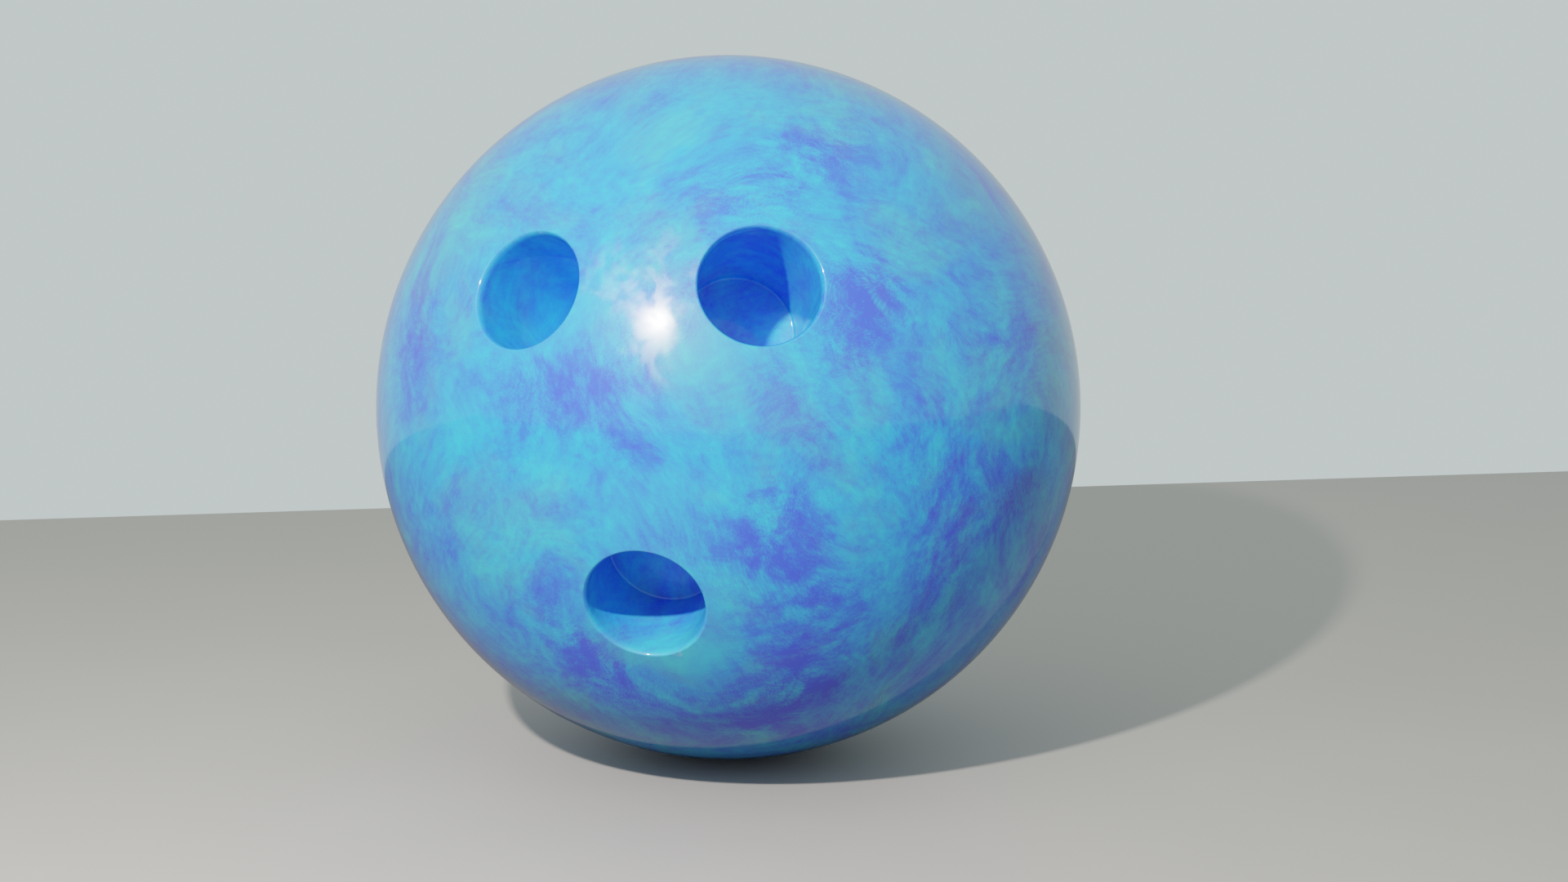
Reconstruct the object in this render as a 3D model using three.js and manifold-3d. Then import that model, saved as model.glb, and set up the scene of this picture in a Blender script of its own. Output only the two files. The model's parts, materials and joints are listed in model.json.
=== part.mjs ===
// A ten-pin bowling ball with a swirled coverstock, two finger holes and a thumb hole.
// Millimetres. The origin is the ball's centre and +Z is up as the ball rests on a floor.
// The grip faces -Y, with the finger holes above the thumb hole.
//
// The ball is cast in layers: a weight block, a filler core poured round it, and a thick coverstock
// poured round that. A dowel and a plug fill the bore of the pin that held the core in its mould.

import * as THREE from "three";
import { mergeVertices } from "three/addons/utils/BufferGeometryUtils.js";
import Module from "manifold-3d";

// ---- Driving dimensions ----

const BALL_RADIUS = 108;
const COVER_THICKNESS = 48;
const CAST_GAP = 0.3; // left between neighbouring castings, which are bonded on the real ball

// Where a hole's mouth is, and where its axis points outwards. Azimuth runs from -Y towards +X.
const HOLES = [
  { name: "left finger", mouth: [-19.8, 23.1], axis: [-21.0, 22.5], depth: 40 },
  { name: "right finger", mouth: [19.1, 24.3], axis: [23.3, 21.8], depth: 42 },
  { name: "thumb", mouth: [0.5, -23.2], axis: [2.0, -23.2], depth: 26 },
];
const HOLE_RADIUS = 16.4;
const MOUTH_BEVEL = 1.2; // width and height of the bevel round each mouth
const FLOOR_CHAMFER = 0.6; // left by the corner of the drill where wall and floor meet

const PIN_PLACE = [180, 84]; // azimuth and elevation of the pin, behind the ball's top
const PIN_BORE_RADIUS = 3.3;
const DOWEL_SOCKET_DEPTH = 8; // how far the dowel stands in the weight block

const BLOCK_DOME_RADIUS = 34; // the bulb's round end, towards the pin
const BLOCK_DOME_HEIGHT = 12; // from the ball's centre to the dome's centre
const BLOCK_FOOT_RADIUS = 23;
const BLOCK_FOOT_HEIGHT = -44; // the flat end
const BLOCK_FOOT_ROUND = 5;
const BLOCK_NECK_ANGLE = 32; // between the block's axis and its straight, tapering neck

const HOLE_SIDES = 40;
const BLOCK_SIDES = 32;
const PIN_SIDES = 20;
const BALL_DETAIL = 11; // how finely the round castings are divided
const CORE_DETAIL = 5;

// ---- Materials ----

const finish = (color, roughness) =>
  new THREE.MeshStandardMaterial({ color, roughness, metalness: 0 });
const COVER_RESIN = finish("#58b0e2", 0.08);
const FILLER_RESIN = finish("#b9b4a6", 0.75);
const BLOCK_CERAMIC = finish("#7a4a86", 0.55);
const DOWEL_WOOD = finish("#c9a26b", 0.8);
const PLUG_RESIN = finish("#f2ede0", 0.12);

// ---- Geometry helpers ----

const wasm = await Module();
wasm.setup();

function direction([azimuth, elevation]) {
  const a = THREE.MathUtils.degToRad(azimuth);
  const e = THREE.MathUtils.degToRad(elevation);
  return new THREE.Vector3(Math.sin(a) * Math.cos(e), -Math.cos(a) * Math.cos(e), Math.sin(e));
}

// Turns a shape made along +Z to lie along a direction, then moves it to a place.
function aimed(geometry, along, place) {
  const up = new THREE.Vector3(0, 0, 1);
  const turn = new THREE.Quaternion().setFromUnitVectors(up, along);
  return geometry.clone().applyQuaternion(turn).translate(place.x, place.y, place.z);
}

// A solid of revolution about +Z from [radius, height] points that start and end on the axis.
function turned(points, sides) {
  const profile = points.map(([radius, height]) => new THREE.Vector2(radius, height));
  return new THREE.LatheGeometry(profile, sides).rotateX(Math.PI / 2);
}

function round(radius, detail) {
  return new THREE.IcosahedronGeometry(radius, detail);
}

function rod(radius, bottom, top) {
  return turned([[0, bottom], [radius, bottom], [radius, top], [0, top]], PIN_SIDES);
}

function solid(geometry) {
  const bare = geometry.clone();
  bare.deleteAttribute("normal");
  bare.deleteAttribute("uv");
  const merged = mergeVertices(bare, 1e-4);
  return new wasm.Manifold(
    new wasm.Mesh({
      numProp: 3,
      vertProperties: new Float32Array(merged.attributes.position.array),
      triVerts: new Uint32Array(merged.index.array),
    }),
  );
}

function node(name, shape, material) {
  const { vertProperties, triVerts } = shape.getMesh();
  const geometry = new THREE.BufferGeometry();
  geometry.setAttribute("position", new THREE.BufferAttribute(vertProperties, 3));
  geometry.setIndex(new THREE.BufferAttribute(triVerts, 1));
  geometry.computeVertexNormals();
  const mesh = new THREE.Mesh(geometry, material);
  mesh.name = name;
  return mesh;
}

// ---- The castings ----

const CENTRE = new THREE.Vector3(0, 0, 0);
const CORE_BED_RADIUS = BALL_RADIUS - COVER_THICKNESS;
const CORE_RADIUS = CORE_BED_RADIUS - CAST_GAP;
const PIN_AXIS = direction(PIN_PLACE);
const PIN_RADIUS = PIN_BORE_RADIUS - CAST_GAP;

// One drilled hole: a bore with a chamfered flat floor along its own axis, and a bevel that is square
// to the ball's surface, so that it has the same width all the way round the mouth.
function drilled({ mouth, axis, depth }) {
  const outwards = direction(mouth);
  const rim = Math.sqrt(BALL_RADIUS ** 2 - HOLE_RADIUS ** 2);
  const rimCentre = outwards.clone().multiplyScalar(rim);
  const past = 12; // how far the cutting shapes stand out of the ball
  const bore = turned(
    [
      [0, -depth],
      [HOLE_RADIUS - FLOOR_CHAMFER, -depth],
      [HOLE_RADIUS, FLOOR_CHAMFER - depth],
      [HOLE_RADIUS, past],
      [0, past],
    ],
    HOLE_SIDES,
  );
  const bevel = turned(
    [
      [0, -MOUTH_BEVEL],
      [HOLE_RADIUS, -MOUTH_BEVEL],
      [HOLE_RADIUS + MOUTH_BEVEL + past, past],
      [0, past],
    ],
    HOLE_SIDES,
  );
  return solid(aimed(bore, direction(axis), rimCentre)).add(solid(aimed(bevel, outwards, rimCentre)));
}

// The light-bulb outline of the weight block, grown outwards by a gap.
function blockOutline(gap) {
  const neck = THREE.MathUtils.degToRad(BLOCK_NECK_ANGLE);
  const dome = BLOCK_DOME_RADIUS + gap;
  const foot = BLOCK_FOOT_RADIUS + gap;
  const floor = BLOCK_FOOT_HEIGHT - gap;
  const corner = BLOCK_FOOT_ROUND + gap;
  const arc = (radius, height, size, from, to, steps) =>
    Array.from({ length: steps + 1 }, (_, i) => {
      const angle = from + ((to - from) * i) / steps;
      return [radius + size * Math.cos(angle), height + size * Math.sin(angle)];
    });
  // the neck leaves the dome along its tangent, and meets the foot's straight side
  const leave = [dome * Math.cos(neck), BLOCK_DOME_HEIGHT - dome * Math.sin(neck)];
  const meet = [foot, leave[1] - (leave[0] - foot) / Math.tan(neck)];
  return [
    [0, floor],
    ...arc(foot - corner, floor + corner, corner, -Math.PI / 2, 0, 4),
    meet,
    ...arc(0, BLOCK_DOME_HEIGHT, dome, -neck, Math.PI / 2, 14).slice(0, -1),
    [0, BLOCK_DOME_HEIGHT + dome],
  ];
}

function coverstock() {
  const pinBore = solid(aimed(rod(PIN_BORE_RADIUS, 0, BALL_RADIUS + 5), PIN_AXIS, CENTRE));
  return HOLES.reduce(
    (cover, hole) => cover.subtract(drilled(hole)),
    solid(round(BALL_RADIUS, BALL_DETAIL))
      .subtract(solid(round(CORE_BED_RADIUS, CORE_DETAIL)))
      .subtract(pinBore),
  );
}

function fillerCore() {
  const bed = solid(aimed(turned(blockOutline(CAST_GAP), BLOCK_SIDES), PIN_AXIS, CENTRE));
  const dowelBore = solid(aimed(rod(PIN_BORE_RADIUS, 0, CORE_RADIUS + 5), PIN_AXIS, CENTRE));
  return solid(round(CORE_RADIUS, CORE_DETAIL)).subtract(bed).subtract(dowelBore);
}

const BLOCK_TOP = BLOCK_DOME_HEIGHT + BLOCK_DOME_RADIUS;
const SOCKET_FLOOR = BLOCK_TOP - DOWEL_SOCKET_DEPTH;

function weightBlock() {
  const socket = solid(aimed(rod(PIN_BORE_RADIUS, SOCKET_FLOOR, BALL_RADIUS), PIN_AXIS, CENTRE));
  return solid(aimed(turned(blockOutline(0), BLOCK_SIDES), PIN_AXIS, CENTRE)).subtract(socket);
}

function coreDowel() {
  const length = rod(PIN_RADIUS, SOCKET_FLOOR + CAST_GAP, CORE_RADIUS - 1);
  return solid(aimed(length, PIN_AXIS, CENTRE));
}

// The plug runs from the core to the ball's surface, and is ground flush with it.
function pinPlug() {
  const length = rod(PIN_RADIUS, CORE_BED_RADIUS, BALL_RADIUS + 5);
  return solid(aimed(length, PIN_AXIS, CENTRE)).intersect(solid(round(BALL_RADIUS, BALL_DETAIL)));
}

const ball = new THREE.Group();
ball.add(
  node("coverstock", coverstock(), COVER_RESIN),
  node("filler_core", fillerCore(), FILLER_RESIN),
  node("weight_block", weightBlock(), BLOCK_CERAMIC),
  node("core_dowel", coreDowel(), DOWEL_WOOD),
  node("pin_plug", pinPlug(), PLUG_RESIN),
);

export default ball;
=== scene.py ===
"""A glossy ten-pin bowling ball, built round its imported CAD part.

Lengths are in metres in the part's frame: the origin is the ball's centre, +Z is up, and the grip faces -Y.
The cover's holes go where the record's mounts say their floors are.
"""

import json
import math

import bpy
import numpy as np
from mathutils import Euler, Matrix, Vector
from mathutils.geometry import delaunay_2d_cdt


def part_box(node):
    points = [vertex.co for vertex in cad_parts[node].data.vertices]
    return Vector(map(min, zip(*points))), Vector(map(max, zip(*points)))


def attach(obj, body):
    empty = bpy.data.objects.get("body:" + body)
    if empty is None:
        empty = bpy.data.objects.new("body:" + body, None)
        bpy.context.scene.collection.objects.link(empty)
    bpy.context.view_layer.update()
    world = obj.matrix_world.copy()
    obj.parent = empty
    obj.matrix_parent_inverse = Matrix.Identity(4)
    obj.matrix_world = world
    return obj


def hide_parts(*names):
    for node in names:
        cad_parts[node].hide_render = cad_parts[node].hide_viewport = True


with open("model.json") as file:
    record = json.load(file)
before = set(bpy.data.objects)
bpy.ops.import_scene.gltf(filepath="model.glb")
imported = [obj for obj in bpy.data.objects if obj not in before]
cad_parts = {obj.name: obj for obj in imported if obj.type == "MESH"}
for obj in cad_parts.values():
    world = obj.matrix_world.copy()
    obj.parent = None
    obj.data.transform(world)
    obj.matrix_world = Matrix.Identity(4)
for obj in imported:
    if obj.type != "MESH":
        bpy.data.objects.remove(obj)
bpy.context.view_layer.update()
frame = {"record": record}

# ---- Sizes, from the frame and a few driving dimensions ----

MM = 0.001
BALL_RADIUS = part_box("coverstock")[1].z
CORE_RADIUS = max(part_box("filler_core")[1])
HOLE_RADIUS = 16.4 * MM
MOUTH_FLARE = 0.8 * MM  # how much each hole's radius grows towards its mouth, over a depth
FLARE_DEPTH = 2.6 * MM
EDGE_EASE = 0.3 * MM  # how far the rounding of the mouth's edge reaches
FLOOR_ROUND = 0.7 * MM
PIN_RADIUS = 3.0 * MM
SEAM = 0.06 * MM  # left between neighbouring pieces, which are bonded on the real ball
CAST_GAP = 0.3 * MM  # left between neighbouring castings in the CAD

BLOCK_DOME_RADIUS = 34 * MM  # the light-bulb block: its round end, its neck and its flat foot
BLOCK_DOME_HEIGHT = 12 * MM
BLOCK_NECK_ANGLE = math.radians(32)
BLOCK_NECK_ROUND = 14 * MM
BLOCK_FOOT_RADIUS = 23 * MM
BLOCK_FOOT_HEIGHT = -44 * MM
BLOCK_FOOT_ROUND = 5 * MM
DOWEL_SOCKET_DEPTH = 8 * MM
SOCKET_FLOOR = BLOCK_DOME_HEIGHT + BLOCK_DOME_RADIUS - DOWEL_SOCKET_DEPTH
DOWEL_ENDS = (SOCKET_FLOOR + CAST_GAP, CORE_RADIUS - 1.0 * MM)
PLUG_FOOT = CORE_RADIUS + CAST_GAP

HOLE_STEPS = 120
PIN_STEPS = 48
BLOCK_STEPS = 96
POINT_SPACING = 3.0 * MM

# the pin's axis runs through the plug, from the ball's centre to the middle of the plug's box
PIN_AXIS = (sum(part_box("pin_plug"), Vector()) / 2).normalized()


def direction(azimuth, elevation):
    a, e = math.radians(azimuth), math.radians(elevation)
    return Vector((math.sin(a) * math.cos(e), -math.cos(a) * math.cos(e), math.sin(e)))


def unit(v):
    return v / np.linalg.norm(v, axis=-1, keepdims=True)


def square_to(axis):
    """Two directions at right angles to an axis and to each other."""
    side = unit(np.cross(axis, (1.0, 0.0, 0.0) if abs(axis[0]) < 0.7 else (0.0, 0.0, 1.0)))
    return side, np.cross(axis, side)


def spokes(axis, count):
    side, other = square_to(axis)
    turn = np.linspace(0, 2 * math.pi, count, endpoint=False)[:, None]
    return np.cos(turn) * side + np.sin(turn) * other


class Surface:
    """Vertices with their normals, and faces, gathered ring by ring."""

    def __init__(self):
        self.points, self.normals, self.faces = [], [], []

    def add(self, points, normals):
        first = len(self.points)
        self.points.extend(map(tuple, points))
        self.normals.extend(map(tuple, np.broadcast_to(normals, np.shape(points))))
        return list(range(first, len(self.points)))

    def band(self, outer, inner):
        for i in range(len(outer)):
            j = (i + 1) % len(outer)
            self.faces.append((outer[i], outer[j], inner[j], inner[i]))

    def fan(self, ring, tip):
        for i in range(len(ring)):
            self.faces.append((ring[i], ring[(i + 1) % len(ring)], tip))

    def piece(self, name, node, slot, material):
        mesh = bpy.data.meshes.new(name)
        mesh.from_pydata(self.points, [], self.faces)
        mesh.polygons.foreach_set("use_smooth", [True] * len(mesh.polygons))
        mesh.normals_split_custom_set_from_vertices([Vector(n) for n in self.normals])
        mesh.materials.append(material)
        piece = bpy.data.objects.new(name, mesh)
        bpy.context.scene.collection.objects.link(piece)
        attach(piece, "root")
        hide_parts(node)
        return piece


# ---- The cover ----


def spread_points(radius, spacing):
    """Points spread evenly over a sphere along a golden-angle spiral."""
    count = int(4 * math.pi * radius**2 / (spacing**2 * math.sqrt(3) / 2))
    step = np.arange(count) + 0.5
    height = 1 - 2 * step / count
    turn = step * math.pi * (3 - math.sqrt(5))
    across = np.sqrt(1 - height**2)
    return np.stack([across * np.cos(turn), across * np.sin(turn), height], 1)


class Hole:
    """A blind drilled hole, given by its flat floor's centre and by its axis, pointing out of the mouth."""

    def __init__(self, floor, axis):
        self.floor, self.axis = np.array(floor), unit(np.array(axis))
        self.out = spokes(self.axis, HOLE_STEPS)
        foot = self.floor + HOLE_RADIUS * self.out
        along = foot @ self.axis
        self.height = np.sqrt(along**2 - (foot**2).sum(1) + BALL_RADIUS**2) - along
        self.corner = foot + self.height[:, None] * self.axis
        self.skin = unit(self.corner)  # the ball's own normal at the sharp corner
        outward = self.out - (self.out * self.skin).sum(1, keepdims=True) * self.skin
        self.away = unit(outward)
        self.middle = unit(self.floor + self.axis * self.height.mean())

    def on_ball(self, reach):
        """The ring on the ball at a distance from the mouth's corner."""
        angle = reach / BALL_RADIUS
        return BALL_RADIUS * (math.cos(angle) * self.skin + math.sin(angle) * self.away)

    def line(self, surface, rim):
        """The eased edge, flare, wall, rounded foot and floor, inwards from the rim's vertices."""
        outer, bend = self.on_ball(MOUTH_FLARE), self.corner - 0.4 * FLARE_DEPTH * self.axis
        end = self.corner - FLARE_DEPTH * self.axis
        start = outer + EDGE_EASE * unit(bend - outer)
        around = np.cross(self.axis, self.out)
        slope = unit(np.cross(around, bend - outer))
        edge = self.on_ball(MOUTH_FLARE + EDGE_EASE)
        ring = rim
        for s in np.linspace(0, 1, 5)[1:]:
            points = (1 - s) ** 2 * edge + 2 * s * (1 - s) * outer + s**2 * start
            ring = self.next_ring(surface, ring, points, unit((1 - s) * self.skin + s * slope))
        for s in np.linspace(0, 1, 9)[1:]:
            points = (1 - s) ** 2 * start + 2 * s * (1 - s) * bend + s**2 * end
            run = (1 - s) * (bend - start) + s * (end - bend)
            ring = self.next_ring(surface, ring, points, unit(np.cross(around, run)))
        top = self.height - FLARE_DEPTH
        for s in np.linspace(0, 1, 11)[1:]:
            height = top + s * (FLOOR_ROUND - top)
            points = self.floor + HOLE_RADIUS * self.out + height[:, None] * self.axis
            ring = self.next_ring(surface, ring, points, -self.out)
        for turn in np.linspace(0, math.pi / 2, 7)[1:]:
            radius = HOLE_RADIUS - FLOOR_ROUND * (1 - math.cos(turn))
            height = FLOOR_ROUND * (1 - math.sin(turn))
            points = self.floor + radius * self.out + height * self.axis
            normals = math.sin(turn) * self.axis - math.cos(turn) * self.out
            ring = self.next_ring(surface, ring, points, normals)
        for share in (0.75, 0.5, 0.25):
            radius = share * (HOLE_RADIUS - FLOOR_ROUND)
            ring = self.next_ring(surface, ring, self.floor + radius * self.out, self.axis)
        surface.fan(ring, surface.add([self.floor], self.axis)[0])

    @staticmethod
    def next_ring(surface, ring, points, normals):
        new = surface.add(points, normals)
        surface.band(ring, new)
        return new


def flattened(points, pole):
    """The ball's points on a plane, by stereographic projection away from a pole."""
    side, other = square_to(pole)
    scale = 1 / (1 - points @ pole)
    return np.stack([points @ side * scale, points @ other * scale], 1)


def ball_skin(surface, holes, pole):
    """The ball's outside with the mouths and the pin's bore left open. Returns the open rings."""
    reaches = [MOUTH_FLARE + EDGE_EASE + extra * MM for extra in (0, 0.9, 2.0, 3.5)]
    rings = [[hole.on_ball(reach) for reach in reaches] for hole in holes]
    pin_out = spokes(pole, PIN_STEPS)

    def round_pin(radius):
        height = math.sqrt(BALL_RADIUS**2 - radius**2)
        return radius * pin_out + height * pole

    bore = PIN_RADIUS + SEAM
    rings.append([round_pin(bore + extra * MM) for extra in (0, 0.5, 1.2, 2.4)])
    centres = [hole.middle for hole in holes] + [pole]
    # the spread points keep clear of the rings round each opening
    spread = spread_points(BALL_RADIUS, POINT_SPACING)
    for centre, group in zip(centres, rings):
        edge = min(unit(group[-1]) @ centre)
        angle = math.acos(edge) + 0.75 * POINT_SPACING / BALL_RADIUS
        spread = spread[spread @ centre < math.cos(angle)]
    points = np.concatenate([ring for group in rings for ring in group] + [spread * BALL_RADIUS])
    flat = [Vector(p) for p in flattened(unit(points), pole)]
    corners, _, faces, *_ = delaunay_2d_cdt(flat, [], [], 0, 1e-9)
    assert len(corners) == len(flat)
    ids = surface.add(points, unit(points))
    rims, first, owner = [], 0, {}
    for number, group in enumerate(rings):
        rim = ids[first : first + len(group[0])]
        owner.update({i: number for i in rim})
        rims.append(rim)
        first += sum(len(ring) for ring in group)
    # a face with all its corners on one rim would close that opening, so it is left out
    for a, b, c in faces:
        owners = {owner.get(i) for i in (ids[a], ids[b], ids[c])}
        if len(owners) > 1 or None in owners:
            face = (ids[a], ids[b], ids[c])
            pa, pb, pc = (np.array(surface.points[i]) for i in face)
            outward = np.cross(pb - pa, pc - pa) @ pa > 0
            surface.faces.append(face if outward else face[::-1])
    return rims


def coverstock(material):
    pole = np.array(PIN_AXIS)
    holes = [Hole(m["pos_m"], m["axis"]) for m in frame["record"]["mounts"]]
    surface = Surface()
    *mouths, pin_rim = ball_skin(surface, holes, pole)
    for hole, rim in zip(holes, mouths):
        hole.line(surface, rim)
    # the pin's bore runs down to the round bed that holds the core
    out, bore, bed = spokes(pole, PIN_STEPS), PIN_RADIUS + SEAM, CORE_RADIUS + SEAM
    ring = Hole.next_ring(surface, pin_rim, bore * out + math.sqrt(bed**2 - bore**2) * pole, -out)
    for angle in np.linspace(math.asin(bore / bed), math.pi, 48)[1:-1]:
        normal = math.sin(angle) * out + math.cos(angle) * pole
        ring = Hole.next_ring(surface, ring, bed * normal, -normal)
    surface.fan(ring, surface.add([-bed * pole], pole)[0])
    return surface.piece("swirled_coverstock", "coverstock", "cover_resin", material)


# ---- The pieces inside the cover, all turned about the pin's axis ----


def arc(centre, radius, start, end, steps):
    """Points on an arc, as (radius, height) rows, with the angles in radians from straight outwards."""
    angle = np.linspace(start, end, steps + 1)
    return np.stack([centre[0] + radius * np.cos(angle), centre[1] + radius * np.sin(angle)], 1)


def rounded(corners, sizes, steps=5):
    """A polyline's points with each inner corner rounded off by its size."""
    corners = [np.array(c, float) for c in corners]
    points = [corners[0]]
    for before, corner, after, size in zip(corners, corners[1:], corners[2:], sizes):
        start, end = corner + size * unit(before - corner), corner + size * unit(after - corner)
        for s in np.linspace(0, 1, steps + 1):
            points.append((1 - s) ** 2 * start + 2 * s * (1 - s) * corner + s**2 * end)
    return np.array(points + [corners[-1]])


def turned(profile, steps, name, node, slot, material):
    """A closed piece of revolution. Its outline runs from axis to axis with its outside on the right."""
    axis = np.array(PIN_AXIS)
    out = spokes(axis, steps)
    run = np.diff(profile, axis=0)
    faces_out = unit(np.stack([run[:, 1], -run[:, 0]], 1))
    surface = Surface()
    tip = surface.add([profile[0][1] * axis], faces_out[0][1] * axis)[0]
    ring = None
    for (radius, height), before, after in zip(profile[1:-1], faces_out, faces_out[1:]):
        normal = unit(before + after)
        new = surface.add(radius * out + height * axis, normal[0] * out + normal[1] * axis)
        if ring is None:
            surface.fan(new[::-1], tip)
        else:
            surface.band(ring, new)
        ring = new
    surface.fan(ring, surface.add([profile[-1][1] * axis], faces_out[-1][1] * axis)[0])
    return surface.piece(name, node, slot, material)


def bulb(gap):
    """The weight block's outline from its foot to its dome, grown outwards by a gap."""
    dome, foot, corner = BLOCK_DOME_RADIUS + gap, BLOCK_FOOT_RADIUS + gap, BLOCK_FOOT_ROUND + gap
    base = BLOCK_FOOT_HEIGHT - gap
    top = (0, BLOCK_DOME_HEIGHT)
    leave = arc(top, dome, -BLOCK_NECK_ANGLE, 0, 1)[0]
    meet = np.array([foot, leave[1] - (leave[0] - foot) / math.tan(BLOCK_NECK_ANGLE)])
    reach = BLOCK_NECK_ROUND - gap
    reach = min(reach, 0.6 * np.linalg.norm(leave - meet))
    neck = rounded([(foot, base + corner), meet, leave], [reach], 12)
    return np.concatenate([
        arc((foot - corner, base + corner), corner, -math.pi / 2, 0, 10)[:-1],
        neck[:-1],
        arc(top, dome, -BLOCK_NECK_ANGLE, math.pi / 2, 40),
    ])


def down_to(points, radius):
    """An outline that rises towards the axis, stopped where it reaches a bore of a radius."""
    kept = [p for i, p in enumerate(points) if p[0] > radius or i < len(points) // 2]
    last, following = kept[-1], points[len(kept)]
    share = (last[0] - radius) / (last[0] - following[0])
    return np.array(kept + [last + share * (following - last)])


def weight_block(material):
    bore = PIN_RADIUS + SEAM
    outside = down_to(bulb(0), bore)
    rim = outside[-1]
    socket = rounded([outside[-2], rim, (bore, SOCKET_FLOOR), (0, SOCKET_FLOOR)], [0.4 * MM, 0.4 * MM])
    profile = np.concatenate([[(0, BLOCK_FOOT_HEIGHT)], outside[:-2], socket])
    return turned(profile, BLOCK_STEPS, "bulb_weight_block", "weight_block", "block_ceramic", material)


def filler_core(material):
    bore = PIN_RADIUS + SEAM
    ball = arc((0, 0), CORE_RADIUS, -math.pi / 2, math.pi / 2, 90)
    outside, bed = down_to(ball, bore), down_to(bulb(SEAM), bore)
    neck = rounded([outside[-2], outside[-1], bed[-1], bed[-2]], [0.4 * MM, 0.2 * MM])
    floor = [(0, BLOCK_FOOT_HEIGHT - SEAM)]
    profile = np.concatenate([outside[:-2], neck, bed[-3::-1], floor])
    return turned(profile, BLOCK_STEPS, "cast_filler_core", "filler_core", "filler_resin", material)


def core_dowel(material):
    foot, top = DOWEL_ENDS
    chamfer = 0.6 * MM
    side = PIN_RADIUS
    corners = [(0, foot), (side - chamfer, foot), (side, foot + chamfer), (side, top - chamfer),
               (side - chamfer, top), (0, top)]
    profile = rounded(corners, [0.15 * MM] * 4)
    return turned(profile, PIN_STEPS, "wooden_core_dowel", "core_dowel", "dowel_wood", material)


def pin_plug(material):
    """The plug, ground flush with the ball, so that only a hairline shows round it."""
    ease = 0.12 * MM
    edge = math.asin((PIN_RADIUS - ease) / BALL_RADIUS)
    cap = arc((0, 0), BALL_RADIUS, math.pi / 2 - edge, math.pi / 2, 8)
    corners = [(0, PLUG_FOOT), (PIN_RADIUS - 0.5 * MM, PLUG_FOOT), (PIN_RADIUS, PLUG_FOOT + 0.5 * MM),
               (PIN_RADIUS, cap[0][1] - ease)]
    shaft = rounded(corners, [0.15 * MM] * 2)
    profile = np.concatenate([shaft, cap])
    return turned(profile, PIN_STEPS, "flush_pin_plug", "pin_plug", "plug_resin", material)


# ---- Materials ----


class Nodes:
    """A short way to write a material's node tree."""

    def __init__(self, name):
        self.material = bpy.data.materials.new(name)
        self.material.use_nodes = True
        self.tree = self.material.node_tree
        self.shader = self.tree.nodes["Principled BSDF"]
        self.output = self.tree.nodes["Material Output"]

    def new(self, kind, inputs=(), **settings):
        node = self.tree.nodes.new(kind)
        for key, value in settings.items():
            setattr(node, key, value)
        for key, value in dict(inputs).items():
            self.put(node.inputs[key], value)
        return node

    def put(self, socket, value):
        if isinstance(value, bpy.types.NodeSocket):
            self.tree.links.new(value, socket)
        else:
            socket.default_value = value

    def math(self, operation, a, b=0.0, c=0.0, clamp=False):
        settings = {"operation": operation, "use_clamp": clamp}
        return self.new("ShaderNodeMath", {0: a, 1: b, 2: c}, **settings).outputs[0]

    def vector(self, operation, a, b=(0, 0, 0), scale=1.0):
        inputs = {0: a, 3: scale} if operation == "SCALE" else {0: a, 1: b}
        node = self.new("ShaderNodeVectorMath", inputs, operation=operation)
        return node.outputs["Value" if operation in ("DOT_PRODUCT", "DISTANCE") else "Vector"]

    def noise(self, at, scale, detail, roughness=0.5, distortion=0.0, output="Fac"):
        inputs = {"Vector": at, "Scale": scale, "Detail": detail}
        inputs.update({"Roughness": roughness, "Distortion": distortion})
        return self.new("ShaderNodeTexNoise", inputs).outputs[output]

    def centred(self, *noise):
        """A noise that varies about nothing."""
        return self.math("SUBTRACT", self.noise(*noise), 0.5)

    def warped(self, at, scale, amount, detail=0.0):
        """A place pushed about by a noise, which stirs the patterns that are looked up there."""
        push = self.vector("SUBTRACT", self.noise(at, scale, detail, output="Color"), (0.5, 0.5, 0.5))
        return self.vector("ADD", at, self.vector("SCALE", push, scale=amount))

    def remap(self, value, low, high, to_low=0.0, to_high=1.0, smooth=True):
        inputs = {"Value": value, 1: low, 2: high, 3: to_low, 4: to_high}
        kind = "SMOOTHSTEP" if smooth else "LINEAR"
        return self.new("ShaderNodeMapRange", inputs, interpolation_type=kind).outputs[0]

    def mix(self, share, a, b, blend="MIX"):
        node = self.new("ShaderNodeMix", data_type="RGBA", blend_type=blend)
        for key, value in ((0, share), (6, a), (7, b)):
            self.put(node.inputs[key], value)
        return node.outputs[2]

    def ramp(self, value, stops):
        node = self.new("ShaderNodeValToRGB", {"Fac": value})
        elements = node.color_ramp.elements
        while len(elements) < len(stops):
            elements.new(0.5)
        for element, (place, colour) in zip(elements, stops):
            element.position, element.color = place, colour
        return node.outputs[0]

    def bump(self, height, strength, distance):
        inputs = {"Strength": strength, "Distance": distance, "Height": height}
        return self.new("ShaderNodeBump", inputs).outputs[0]

    def edges(self, low=0.52, high=0.6, most=1.0):
        """Where the surface turns an outward edge, which is where it gets rubbed."""
        return self.remap(self.new("ShaderNodeNewGeometry").outputs["Pointiness"], low, high, 0.0, most)

    def place(self, radius=1.0):
        """The place in the part's frame, as a share of a radius."""
        at = self.new("ShaderNodeTexCoord").outputs["Object"]
        return self.vector("SCALE", at, scale=1 / radius)

    def finish(self, **inputs):
        for key, value in inputs.items():
            self.put(self.shader.inputs[key.replace("_", " ")], value)
        return self.material


def colour(code):
    """A linear colour from its #rrggbb code."""
    parts = [int(code[i : i + 2], 16) / 255 for i in (1, 3, 5)]
    linear = [p / 12.92 if p <= 0.04045 else ((p + 0.055) / 1.055) ** 2.4 for p in parts]
    return (*linear, 1.0)


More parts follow.
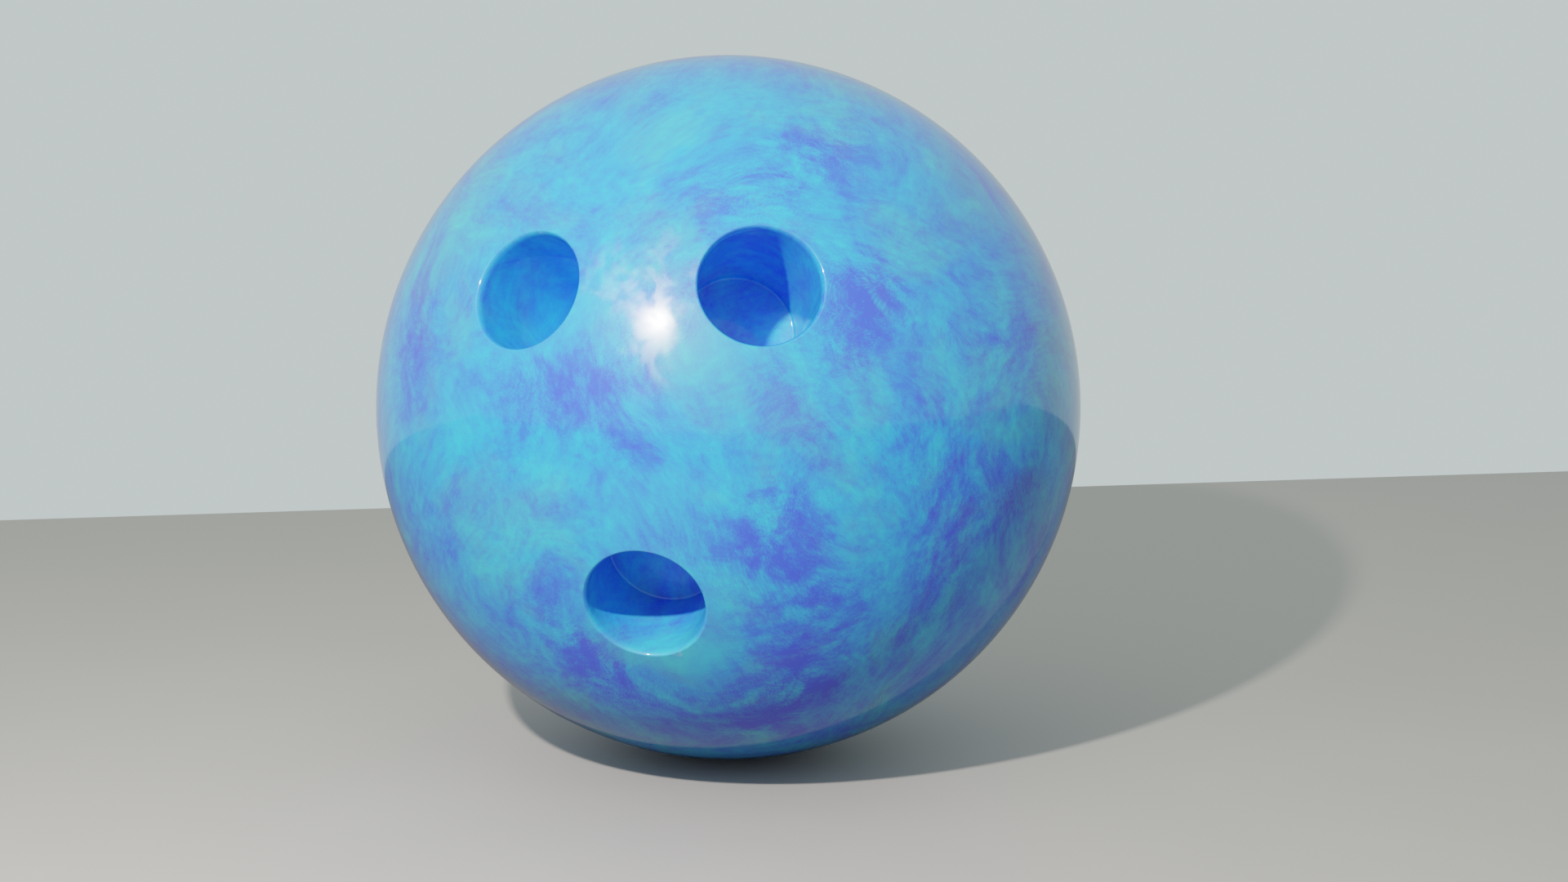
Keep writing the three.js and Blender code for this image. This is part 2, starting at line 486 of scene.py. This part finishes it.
SHOWN_SIDE = direction(14, 7)  # the middle of the side whose clouds are listed below
CLOUD_DEPTH = 0.18  # how much a cloud of full strength turns the resin towards violet
SPOT_REACH = 1.8  # how far a cloud or smear fades out, in its own radii
SMEAR_ROUGHNESS = 0.3
POLISHED = 0.055  # the roughness of the clean coat

# Where the resin's darker, more violet clouds lie on the cover, and its clearest patches: azimuth from -Y
# towards +X, elevation and radius, in degrees, and strength, which is below nothing for a clear patch.
CLOUDS = [
    (35, 22, 7, 0.7),
    (31, 17, 6, 0.5),
    (39, 48, 7, 0.6),
    (30, 43, 6, 0.4),
    (19, 42, 6, 0.5),
    (22, 52, 7, 0.45),
    (-2, 10, 7, 0.6),
    (-12, 9, 7, 0.6),
    (-22, 7, 6, 0.45),
    (-43, 17, 7, 0.5),
    (-42, 9, 6, 0.5),
    (26, 8, 8, 0.45),
    (38, 5, 6, 0.25),
    (22, -11, 5, 0.85),
    (15, -15, 7, 0.3),
    (22, -22, 6, 0.5),
    (30, -23, 6, 0.4),
    (23, -39, 8, 1.0),
    (33, -35, 7, 0.4),
    (24, -50, 7, 0.6),
    (-15, -33, 7, 0.8),
    (-8, -39, 7, 0.75),
    (-19, -24, 7, 0.2),
    (51, -11, 8, 0.45),
    (46, -3, 6, 0.45),
    (50, -21, 6, 0.45),
    (62, 12, 8, 0.25),
    (8, 57, 9, -0.5),
    (-16, 47, 9, -0.4),
    (-11, 21, 6, -0.4),
    (8, 11, 8, -0.5),
    (-26, 3, 7, -0.4),
    (8, -33, 6, -0.4),
    (8, -47, 7, 0.4),
    (45, -30, 6, 0.4),
    (61, -8, 6, 0.4),
    (53, 19, 6, 0.2),
    (10, 4, 5, 0.3),
    (2, 5, 6, 0.4),
    (-7, 57, 6, 0.3),
    (-22, 47, 5, 0.3),
    (14, 34, 5, 0.3),
    (-17, -38, 6, 0.3),
]

# Where handling has smeared the polish, in the same terms, so that the light's reflection turns smoky.
SMEARS = [(-5, 27, 5.5, 1.9), (5, 27, 5.5, 1.5), (4, 12, 5, 0.9), (3, 18, 3, 0.3)]

# From the clearest resin to the most violet.
SWIRL_STOPS = [
    (0.0, (0.035, 0.64, 1.0, 1.0)),
    (0.4, (0.035, 0.36, 1.0, 1.0)),
    (0.7, (0.04, 0.18, 1.0, 1.0)),
    (1.0, (0.045, 0.095, 1.0, 1.0)),
]
TEAL_TINT = (1.5, 1.06, 0.76, 1.0)
RUBBED_TINT = (0.45, 0.62, 0.8, 1.0)


def spots(n, where, places):
    """Round spots on the cover that fade outwards, added up."""
    total = 0.0
    for azimuth, elevation, radius, strength in places:
        away = n.vector("DISTANCE", where, direction(azimuth, elevation))
        reach = SPOT_REACH * math.radians(radius)
        total = n.math("ADD", total, n.remap(away, 0.0, reach, strength, 0.0))
    return total


def swirl(n, at, hair):
    """The stirred resins' colour: soft smoke and drawn-out strands, with clouds of violet on top."""
    smoky = n.centred(n.warped(at, 1.3, 1.0, 3.0), 6.5, 12.0, 0.67)
    drawn = n.centred(n.warped(at, 1.5, 6.0), 7.5, 12.0, 0.58)
    marble = n.math("MULTIPLY_ADD", drawn, 0.45, smoky)

    ragged = n.warped(at, 4.0, 0.32, 6.0)
    clouds = spots(n, ragged, CLOUDS)
    # the far side gets clouds of the same sort from noise
    far = n.remap(n.vector("DOT_PRODUCT", at, SHOWN_SIDE), 0.1, -0.3)
    patches = n.remap(n.noise(ragged, 2.4, 2.0), 0.54, 0.68, 0.0, 0.9)
    clouds = n.math("MULTIPLY_ADD", far, patches, clouds)
    depth = n.math("MULTIPLY_ADD", hair, 0.5, n.math("MULTIPLY_ADD", smoky, 1.0, CLOUD_DEPTH))

    tone = n.math("MULTIPLY_ADD", marble, 0.72, n.math("MULTIPLY_ADD", hair, 0.33, 0.573))
    tone = n.math("MULTIPLY_ADD", clouds, depth, tone)
    base = n.ramp(n.remap(tone, 0.34, 0.84, smooth=False), SWIRL_STOPS)
    # here and there the cyan turns to teal
    teal = n.remap(n.noise(n.warped(at, 1.6, 0.8, 2.0), 2.6, 5.0, 0.6), 0.46, 0.66, 0.0, 0.8)
    return n.mix(teal, base, n.mix(1.0, base, TEAL_TINT, "MULTIPLY"))


def smudges(n, at):
    """How much hands and cloths have dulled the coat, on the ball's outside only."""
    wisps = n.noise(at, 12.0, 2.0, 0.5, 0.6)
    smear = spots(n, n.warped(at, 4.0, 0.2, 1.0), SMEARS)
    smear = n.math("MULTIPLY", smear, n.remap(wisps, 0.34, 0.64, 0.15, 1.0))
    faint = n.remap(wisps, 0.45, 0.7, 0.0, 0.06)
    outside = n.remap(n.vector("DISTANCE", at, (0, 0, 0)), 0.97, 0.995)
    return n.math("MULTIPLY", n.math("MULTIPLY_ADD", smear, SMEAR_ROUGHNESS, faint), outside)


def swirl_resin():
    """Cyan, sky-blue and violet resins stirred together, under a glossy coat with faint smudges."""
    n = Nodes("swirl_resin")
    at = n.place(BALL_RADIUS)
    hair = n.centred(n.warped(at, 1.8, 7.0), 38.0, 6.0, 0.7)
    rubbed = n.math("MULTIPLY", n.edges(0.515, 0.56), n.remap(n.noise(at, 40.0, 6.0, 0.7), 0.45, 0.65))
    worn = n.math("MULTIPLY_ADD", rubbed, 0.2, POLISHED)
    ripple = n.bump(n.noise(at, 30.0, 4.0), 0.03, 0.1 * MM)
    return n.finish(
        Base_Color=n.mix(n.math("MULTIPLY", rubbed, 0.25), swirl(n, at, hair), RUBBED_TINT),
        Roughness=n.remap(hair, -0.15, 0.15, 0.4, 0.5),
        Specular_IOR_Level=0.25,
        Coat_Weight=1.0,
        Coat_Roughness=n.math("ADD", smudges(n, at), worn),
        Coat_Normal=ripple,
        Normal=ripple,
        IOR=1.5,
    )


def speckled(name, scale, stops, roughness, grain):
    """A cast or fired material: cloudy, specked with filler grains, and paler where its edges are rubbed."""
    n = Nodes(name)
    at = n.place(CORE_RADIUS)
    specks = n.noise(at, scale * 14, 3.0, 0.6)
    cloudy = n.noise(at, scale, 8.0, 0.65, 0.5)
    tone = n.math("MULTIPLY_ADD", n.math("SUBTRACT", specks, 0.5), 0.7, cloudy)
    pale = tuple(min(1.0, 1.6 * channel + 0.05) for channel in stops[-1][1][:3]) + (1,)
    return n.finish(
        Base_Color=n.mix(n.edges(most=0.4), n.ramp(tone, stops), pale),
        Roughness=n.remap(tone, 0.3, 0.7, roughness, roughness + 0.12),
        Normal=n.bump(specks, 0.4, grain),
    )


def along_pin(n, stretch):
    """The place in ball radii, squeezed along the pin's axis so that a pattern runs down it."""
    turn = Vector(PIN_AXIS).to_track_quat("Z", "Y").to_euler()
    inputs = {"Vector": n.place(BALL_RADIUS), "Rotation": turn}
    in_pin = n.new("ShaderNodeMapping", inputs, vector_type="TEXTURE").outputs[0]
    return n.new("ShaderNodeMapping", {"Vector": in_pin, "Scale": (1, 1, stretch)}).outputs[0]


def dowel_wood():
    n = Nodes("dowel_wood")
    grain = n.noise(along_pin(n, 0.06), 160.0, 8.0, 0.7, 0.3)
    base = n.ramp(grain, [(0.3, colour("#a87c4a")), (0.5, colour("#c9a26b")), (0.7, colour("#dcbd8b"))])
    return n.finish(
        Base_Color=n.mix(n.edges(most=0.5), base, colour("#e6d0a6")),
        Roughness=n.remap(grain, 0.3, 0.7, 0.85, 0.65),
        Normal=n.bump(grain, 0.5, 0.1 * MM),
    )


def plug_resin():
    """A pearly off-white that shows as a dot on the swirl, polished with the cover."""
    n = Nodes("plug_resin")
    pearl = n.noise(n.place(BALL_RADIUS), 40.0, 8.0, 0.65, 1.0)
    base = n.ramp(pearl, [(0.3, colour("#d9cfb8")), (0.55, colour("#f2ede0")), (0.75, colour("#fbf8f0"))])
    return n.finish(
        Base_Color=n.mix(n.edges(most=0.5), base, colour("#b9b3a4")),
        Roughness=n.remap(pearl, 0.3, 0.7, 0.25, 0.35),
        Coat_Weight=1.0,
        Coat_Roughness=n.remap(pearl, 0.3, 0.7, 0.03, 0.08),
        Normal=n.bump(pearl, 0.05, 0.1 * MM),
    )


GREY_STOPS = [(0.3, colour("#8f8a7d")), (0.5, colour("#b9b4a6")), (0.7, colour("#cfcabd"))]
VIOLET_STOPS = [(0.3, colour("#5b3466")), (0.5, colour("#7a4a86")), (0.7, colour("#92609d"))]

coverstock(swirl_resin())
filler_core(speckled("filler_resin", 5.0, GREY_STOPS, 0.7, 0.3 * MM))
weight_block(speckled("block_ceramic", 7.0, VIOLET_STOPS, 0.5, 0.15 * MM))
core_dowel(dowel_wood())
pin_plug(plug_resin())

# ---- The stage ----

CAMERA_TURN = 12.7  # degrees the camera looks left of +Y, and then down
CAMERA_DOWN = 7.57
LENS_MM = 50
BALL_FROM_CAMERA = (-0.156, 0.095, -6.263)  # the ball's centre in the camera's own axes, in radii

FLOOR_TURN = 24  # degrees the floor's far edge is turned from +X
FLOOR_BACK = 0.494  # from the ball's centre to that edge
FLOOR_HALF = 8.0
PALE = (0.49, 0.44, 0.39, 1), (0.52, 0.47, 0.42, 1)  # the two tones the floor shows
REFLECTED = (0.2, 0.155, 0.12, 1)  # the floor that the ball reflects, as dark as wood

WALL = (0.716, 0.842, 0.842, 1)
WALL_LIGHT = 0.6875  # how strongly the wall lights the ball, against how bright it looks

KEY_PLACE = (-8.5, 30.1)  # azimuth and elevation, in degrees
KEY_DISTANCE = 0.62
KEY_SIZE = 0.022
KEY_WATTS = 5.2


def camera():
    data = bpy.data.cameras.new("camera")
    data.lens = LENS_MM
    data.sensor_width = 36
    data.clip_start = 0.01
    view = bpy.data.objects.new("camera", data)
    turn = Euler((math.radians(90 - CAMERA_DOWN), 0, math.radians(CAMERA_TURN)))
    view.matrix_world = turn.to_matrix().to_4x4()
    view.location = -(turn.to_matrix() @ Vector(BALL_FROM_CAMERA)) * BALL_RADIUS
    bpy.context.scene.collection.objects.link(view)
    bpy.context.scene.camera = view


def key_light():
    """A small round lamp, up behind the camera, that makes the reflection between the finger holes."""
    data = bpy.data.lights.new("key", "AREA")
    data.shape = "DISK"
    data.size = KEY_SIZE
    data.energy = KEY_WATTS
    light = bpy.data.objects.new("key", data)
    towards = direction(*KEY_PLACE)
    light.location = towards * KEY_DISTANCE
    light.rotation_euler = towards.to_track_quat("Z", "Y").to_euler()
    bpy.context.scene.collection.objects.link(light)


def floor():
    """A pale floor that ends at a plain wall behind the ball."""
    z, half = -BALL_RADIUS, FLOOR_HALF
    edge = [(-half, -half, z), (half, -half, z), (half, FLOOR_BACK, z), (-half, FLOOR_BACK, z)]
    turn = Matrix.Rotation(math.radians(FLOOR_TURN), 3, "Z")
    mesh = bpy.data.meshes.new("floor")
    mesh.from_pydata([turn @ Vector(p) for p in edge], [], [(0, 1, 2, 3)])
    n = Nodes("pale_floor")
    cloudy = n.noise(n.place(), 6.0, 6.0, 0.6)
    pale = n.ramp(cloudy, [(0.3, PALE[0]), (0.7, PALE[1])])
    seen = n.new("ShaderNodeLightPath").outputs["Is Camera Ray"]
    base = n.mix(seen, REFLECTED, pale)
    mesh.materials.append(n.finish(Base_Color=base, Roughness=n.remap(cloudy, 0.3, 0.7, 0.5, 0.6)))
    plane = bpy.data.objects.new("floor", mesh)
    bpy.context.scene.collection.objects.link(plane)


def surroundings():
    """A plain pale grey all round: the wall behind the ball, and most of its light."""
    world = bpy.data.worlds.new("surroundings")
    world.use_nodes = True
    tree = world.node_tree
    background = tree.nodes["Background"]
    background.inputs["Color"].default_value = WALL
    seen = tree.nodes.new("ShaderNodeLightPath")
    strength = tree.nodes.new("ShaderNodeMapRange")
    strength.inputs["To Min"].default_value = WALL_LIGHT
    strength.inputs["To Max"].default_value = 1.0
    tree.links.new(seen.outputs["Is Camera Ray"], strength.inputs["Value"])
    tree.links.new(strength.outputs[0], background.inputs["Strength"])
    bpy.context.scene.world = world


camera()
floor()
surroundings()
key_light()
bpy.context.scene.view_settings.view_transform = "Filmic"
